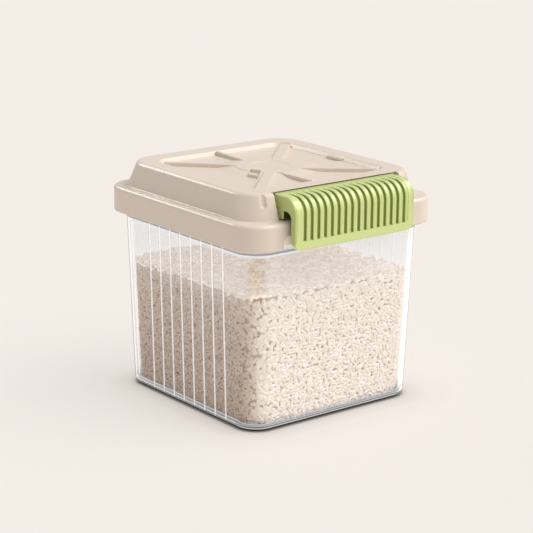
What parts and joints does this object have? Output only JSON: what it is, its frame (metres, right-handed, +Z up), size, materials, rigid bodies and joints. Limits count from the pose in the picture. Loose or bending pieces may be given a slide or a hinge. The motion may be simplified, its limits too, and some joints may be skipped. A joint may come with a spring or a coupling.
{
  "type": "rice bin with flip lid",
  "caption": "Clear food bin with tapered walls and side flutes, a domed one-piece lid hinged at the back and a ribbed front latch that snaps under the bin's flange; holds rice.",
  "frame": {"origin": "middle of the flat foot, on the surface it stands on", "axes": "+Z up, -Y towards the latch, +X to the right for someone facing the latch"},
  "size_m": [0.2, 0.2216, 0.1961],
  "materials": {
    "clear_plastic": "gloss",
    "beige_plastic": "satin",
    "green_plastic": "satin",
    "silicone": "matte",
    "steel": "satin",
    "rice": "matte"
  },
  "bodies": {
    "bin": {"bin_body": "clear_plastic", "rice": "rice", "hinge_pin_left": "steel", "hinge_pin_right": "steel"},
    "lid": {"lid": "beige_plastic", "lid_seal": "silicone", "latch_pin_left": "steel", "latch_pin_right": "steel"},
    "latch": {"latch": "green_plastic"}
  },
  "joints": [
    {"name": "lid_hinge", "type": "hinge", "parent": "bin", "child": "lid", "pos_m": [0, 0.10551, 0.1575], "axis": [-1, 0, 0], "range_deg": [0, 105]},
    {"name": "latch_pivot", "type": "hinge", "parent": "lid", "child": "latch", "pos_m": [0, -0.08838, 0.1903], "axis": [-1, 0, 0], "range_deg": [0, 70]}
  ]
}
